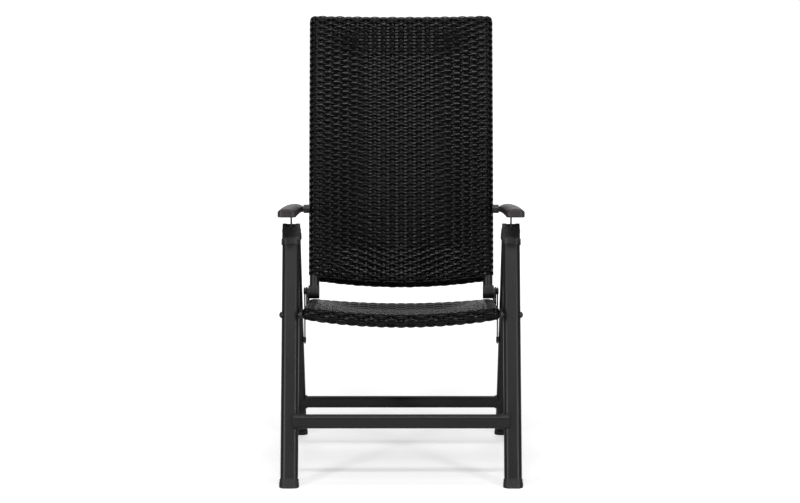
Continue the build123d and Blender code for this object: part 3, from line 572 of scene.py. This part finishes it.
def addSides(name, skin, shape, panelRows, cornerRows, body, node):
    # both side tubes' windings, from the panel's edge round the tube, and round the corners' domes
    spans = [(panelRows, weaveLook["tubeTurn"])]
    spans += [(rows, weaveLook["cornerTurn"]) for rows in cornerRows]
    for side, hand in (("left", 1), ("right", -1)):
        parts = []
        for rows, turn in spans:
            wrapped = shape["radius"] * turn
            steps = int(wrapped / weaveLook["edgePitch"] * weaveLook["edgeSteps"]) + 2
            start, end = hand * shape["lane"], hand * (shape["lane"] + wrapped)
            seed = toneSeeds[name] + hand + len(parts)
            parts.append(rowStrands(skin, shape, rows, start, end, steps, seed))
        putMesh(name + "_" + side, *joinArrays(parts), body, [node + "_" + side])


def addStakes(name, skin, shape, body):
    # the stakes that the rows pass over, up the panel and on round both rails
    past = weaveLook["railTurn"] * shape["radius"]
    places = np.arange(-shape["stakes"], shape["stakes"] + 1) * shape["stakePitch"]
    stakeRun = shape["high"] - shape["low"] + 2 * past
    steps = int(stakeRun / weaveLook["rowPitch"] * weaveLook["stakeSteps"])
    arrays = stakeStrands(skin, shape, places, shape["low"] - past, shape["high"] + past, steps,
                          toneSeeds[name])
    putMesh(name, *arrays, body, [])


# Backrest: panel rows, the windings of its tubes and rails, and the stakes under them
lane = backShape["lane"]
quarter = backShape["radius"] * math.pi / 2
cornerReach = quarter * weaveLook["cornerQuarters"]
bareReach = quarter * weaveLook["bareQuarters"]
backRows = rowRange(backShape, backShape["low"], backShape["high"])
addRows("back_panel_rows", backSkin, backShape, backRows, lane, "backrest", "back_weave")
addSides("back_side_winding", backSkin, backShape, backRows, [rowsPast(backShape, "high", cornerReach)],
         "backrest", "back_side_wrap")
addRows("back_top_winding", backSkin, backShape, rowsPast(backShape, "high", bareReach), lane,
        "backrest", "back_top_wrap")
addRows("back_bottom_winding", backSkin, backShape, rowsPast(backShape, "low", bareReach),
        lane - backShape["radius"], "backrest", "back_bottom_wrap")
addStakes("back_stakes", backSkin, backShape, "backrest")
print("backrest woven")

# Seat: panel rows, the windings of its side rails with their rounded corners, front and rear windings
lane = seatShape["lane"]
cornerReach = seatShape["radius"] * math.pi / 2 * weaveLook["cornerQuarters"]
railReach = weaveLook["railTurn"] * seatShape["radius"]
seatRows = rowRange(seatShape, seatShape["low"], seatShape["high"])
seatCorners = [rowsPast(seatShape, rail, cornerReach) for rail in ("low", "high")]
addRows("seat_panel_rows", seatSkin, seatShape, seatRows, lane, "seat", "seat_weave")
addSides("seat_side_winding", seatSkin, seatShape, seatRows, seatCorners, "seat", "seat_side_wrap")
addRows("seat_front_winding", seatSkin, seatShape, rowsPast(seatShape, "low", railReach), lane,
        "seat", "seat_front_wrap")
addRows("seat_rear_winding", seatSkin, seatShape, rowsPast(seatShape, "high", railReach), lane,
        "seat", "seat_rear_wrap")
addStakes("seat_stakes", seatSkin, seatShape, "seat")
print("seat woven")


# Studio: a pale floor, a white background for the camera and a dim room for reflections
studioLook = {"floorSize": 40.0, "floorShade": 0.8, "floorSpecular": 0.1, "floorRough": 0.9,
              "floorGlow": (0.48, 1.0), "glowStart": 0.6, "glowEnd": 3.0, "white": 1.0, "fill": 0.16,
              "mirror": (0.02, 1.0), "rearStart": 0.5, "rearEnd": 0.95}


def directRays(tree, path):
    # 1 for the camera's own rays and for those that pass through something clear
    return mathNode(tree, "ADD", path["Is Camera Ray"], path["Is Transmission Ray"], clamp=True)


def makeFloorPaint():
    # matt pale paint that glows for direct rays, more with distance, so that only the chair's shadow
    # darkens it; mirror rays see the glow only behind the chair
    made, tree, shader = newFinish("floorPaint", Specular_IOR_Level=studioLook["floorSpecular"],
                                   Roughness=studioLook["floorRough"])
    shade = studioLook["floorShade"]
    shader.inputs["Base Color"].default_value = (shade, shade, shade, 1)
    shader.inputs["Emission Color"].default_value = (1, 1, 1, 1)
    path = addNode(tree, "ShaderNodeLightPath").outputs
    place = addNode(tree, "ShaderNodeTexCoord").outputs["Object"]
    side = addNode(tree, "ShaderNodeSeparateXYZ")
    tree.links.new(place, side.inputs[0])
    rearward = mathNode(tree, "GREATER_THAN", side.outputs["Y"], studioLook["glowStart"])
    behind = mathNode(tree, "MULTIPLY", path["Is Glossy Ray"], rearward)
    seen = mathNode(tree, "ADD", directRays(tree, path), behind, clamp=True)
    away = addNode(tree, "ShaderNodeVectorMath", operation="LENGTH")
    tree.links.new(place, away.inputs[0])
    glow = rangeNode(tree, away.outputs["Value"], studioLook["floorGlow"], studioLook["glowStart"],
                     studioLook["glowEnd"])
    tree.links.new(mathNode(tree, "MULTIPLY", seen, glow), shader.inputs["Emission Strength"])
    return made


def makeFloor():
    # one square under the chair
    half = studioLook["floorSize"] / 2
    made = bpy.data.meshes.new("floor")
    made.from_pydata([(-half, -half, 0), (half, -half, 0), (half, half, 0), (-half, half, 0)], [],
                     [(0, 1, 2, 3)])
    made.materials.append(makeFloorPaint())
    floor = bpy.data.objects.new("floor", made)
    bpy.context.scene.collection.objects.link(floor)


def makeSky():
    # direct rays see white; mirror rays see white behind the chair and a dim room before it; all other
    # rays get an even fill
    world = bpy.data.worlds.new("studio")
    bpy.context.scene.world = world
    world.use_nodes = True
    tree = world.node_tree
    tree.nodes.clear()
    way = addNode(tree, "ShaderNodeSeparateXYZ")
    tree.links.new(addNode(tree, "ShaderNodeTexCoord").outputs["Generated"], way.inputs[0])
    mirror = rangeNode(tree, way.outputs["Y"], studioLook["mirror"], studioLook["rearStart"],
                       studioLook["rearEnd"])
    path = addNode(tree, "ShaderNodeLightPath").outputs
    extra = mathNode(tree, "SUBTRACT", mirror, studioLook["fill"])
    level = mathNode(tree, "MULTIPLY_ADD", path["Is Glossy Ray"], extra, studioLook["fill"])
    lack = mathNode(tree, "SUBTRACT", studioLook["white"], level)
    sky = addNode(tree, "ShaderNodeBackground", {"Color": (1, 1, 1, 1)})
    tree.links.new(mathNode(tree, "MULTIPLY_ADD", directRays(tree, path), lack, level),
                   sky.inputs["Strength"])
    out = addNode(tree, "ShaderNodeOutputWorld")
    tree.links.new(sky.outputs["Background"], out.inputs["Surface"])


chairMiddle = (0, 0, 0.55)
softboxes = {"frontHigh": {"place": (0.0, -3.0, 3.2), "size": (1.8, 0.35), "power": 56},
             "frontLeft": {"place": (-2.2, -3.2, 1.3), "size": (0.3, 1.4), "power": 52},
             "frontRight": {"place": (2.2, -3.2, 1.3), "size": (0.3, 1.4), "power": 48},
             "overhead": {"place": (0.0, 0.6, 3.6), "size": (2.2, 2.2), "power": 50}}


def addSoftbox(name, place, size, power):
    # one rectangular area lamp turned to face the chair's middle
    lamp = bpy.data.lights.new(name, "AREA")
    lamp.shape = "RECTANGLE"
    lamp.size, lamp.size_y = size
    lamp.energy = power
    held = bpy.data.objects.new(name, lamp)
    bpy.context.scene.collection.objects.link(held)
    held.location = place
    held.rotation_euler = (Vector(chairMiddle) - Vector(place)).to_track_quat("-Z", "Y").to_euler()


makeFloor()
makeSky()
for name, box in softboxes.items():
    addSoftbox(name, **box)

# Camera: the photograph's eye, 6 m in front of the chair and looking slightly down
viewLook = {"place": (0.0, -6.076, 1.438), "down": 8.68, "lens": 112.5, "sensor": 36.0,
            "shift": -0.0014}
cameraData = bpy.data.cameras.new("photoEye")
cameraData.lens = viewLook["lens"]
cameraData.sensor_width = viewLook["sensor"]
cameraData.shift_x = viewLook["shift"]
camera = bpy.data.objects.new("photoEye", cameraData)
camera.location = viewLook["place"]
camera.rotation_euler = (math.radians(90 - viewLook["down"]), 0, 0)
bpy.context.scene.collection.objects.link(camera)
bpy.context.scene.camera = camera
bpy.context.scene.view_settings.view_transform = "Standard"
print("studio and camera set")
